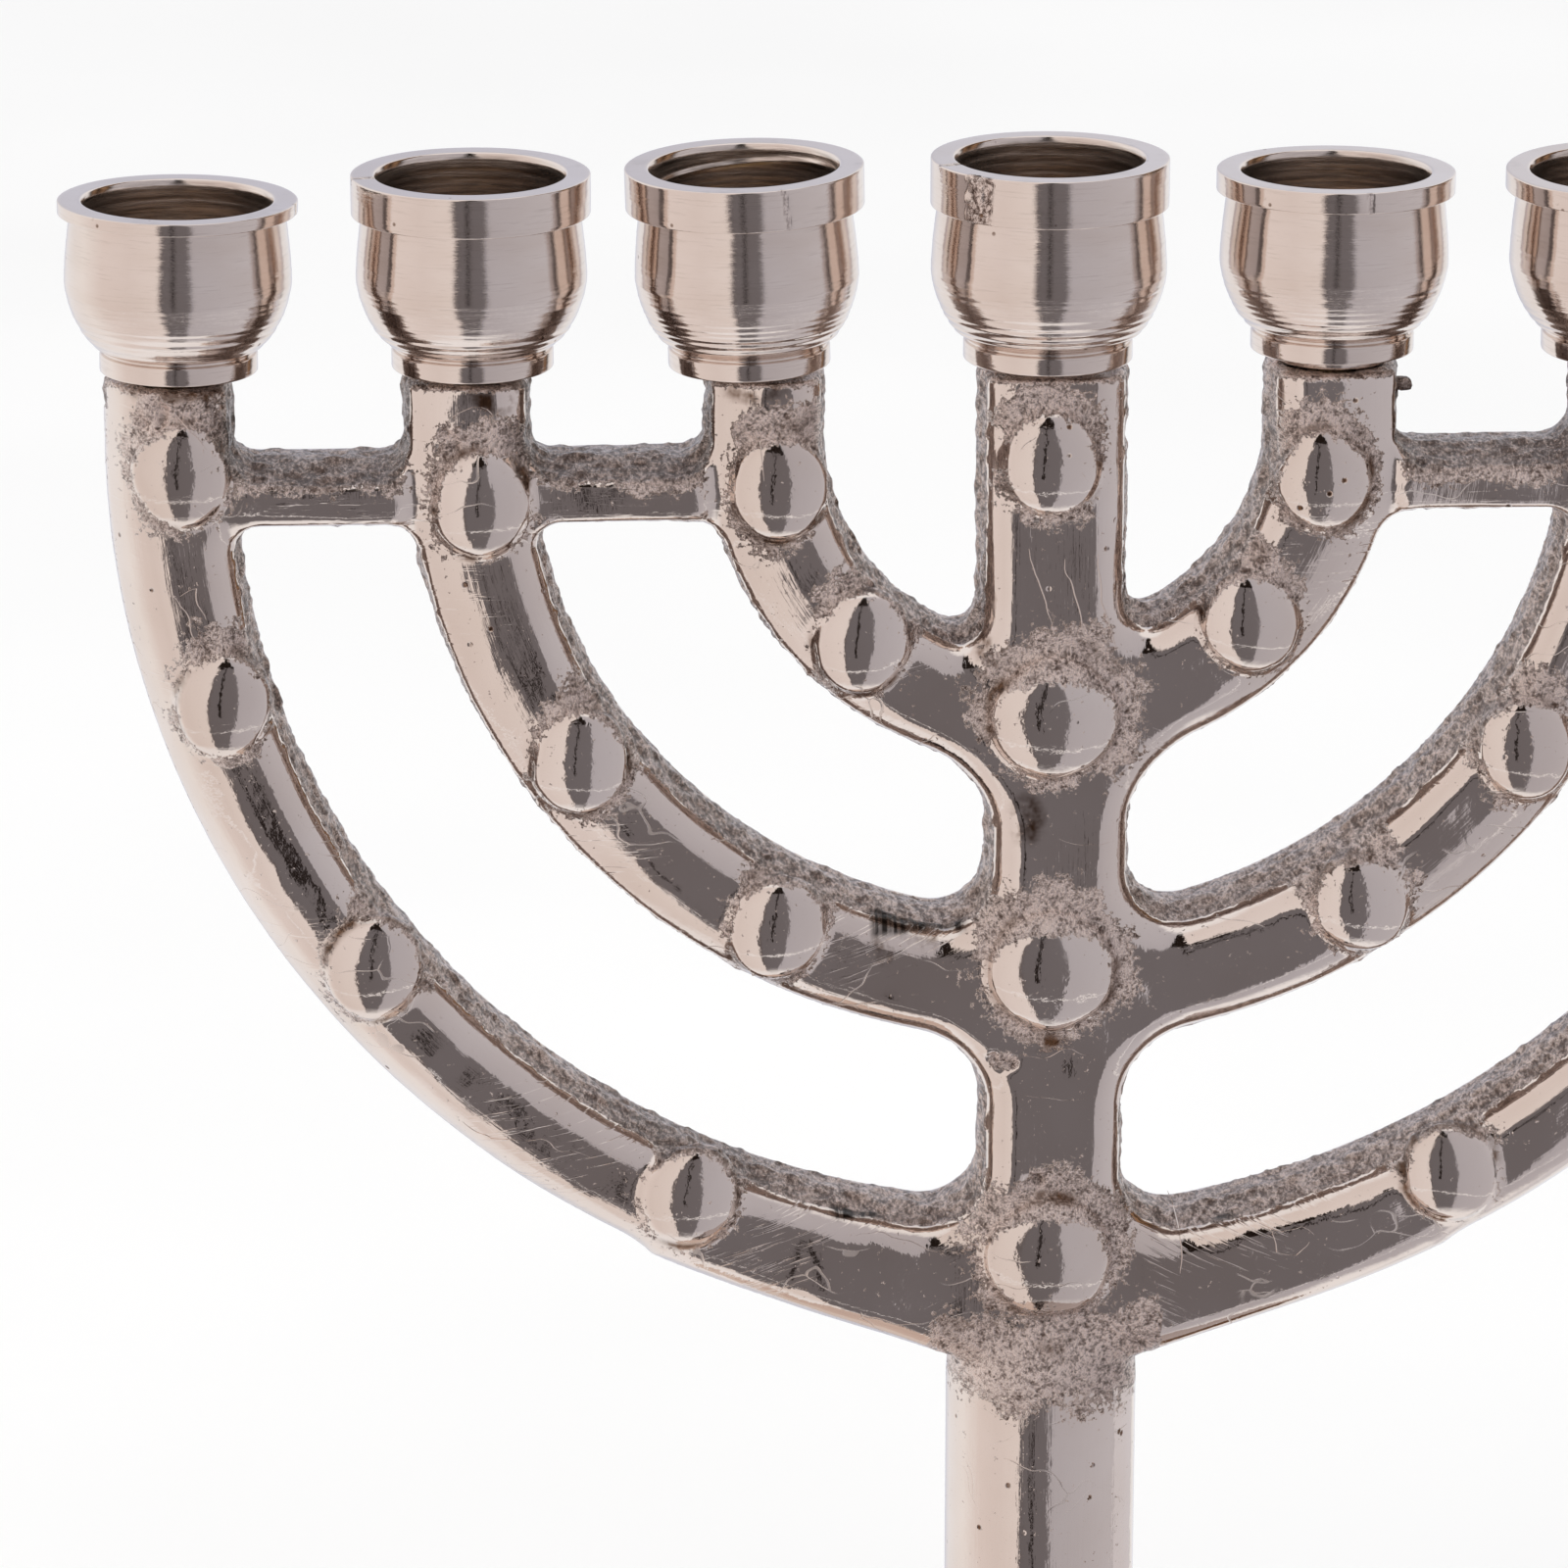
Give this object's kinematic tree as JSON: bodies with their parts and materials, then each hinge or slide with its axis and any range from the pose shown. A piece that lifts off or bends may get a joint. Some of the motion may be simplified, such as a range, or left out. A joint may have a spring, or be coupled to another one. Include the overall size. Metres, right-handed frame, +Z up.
{
  "type": "candlestick",
  "caption": "Flat branched candlestick: curved cast arms with oval bosses and cross bars, turned candle cups on their tips, and a round stepped foot.",
  "frame": {"origin": "on the table under the stem's axis, at the bottom centre of the foot", "axes": "+Z up along the stem, +X along the row of cups to its right end, -Y towards the front"},
  "size_m": [0.1493, 0.078, 0.1489],
  "materials": {
    "cast_nickel": null,
    "turned_nickel": null,
    "brass_screw": "dull, tarnished; a guess, not seen",
    "steel_tie": "zinc plated; a guess, not seen"
  },
  "bodies": {
    "root": {"base_nut": "steel_tie", "base_washer": "steel_tie", "branch_frame": "cast_nickel", "candle_cup_1": "turned_nickel", "candle_cup_2": "turned_nickel", "candle_cup_3": "turned_nickel", "candle_cup_4": "turned_nickel", "candle_cup_5": "turned_nickel", "candle_cup_6": "turned_nickel", "candle_cup_7": "turned_nickel", "column_collar": "turned_nickel", "cup_screw_1": "brass_screw", "cup_screw_2": "brass_screw", "cup_screw_3": "brass_screw", "cup_screw_4": "brass_screw", "cup_screw_5": "brass_screw", "cup_screw_6": "brass_screw", "cup_screw_7": "brass_screw", "pedestal": "turned_nickel", "tie_stud": "steel_tie"}
  },
  "joints": []
}
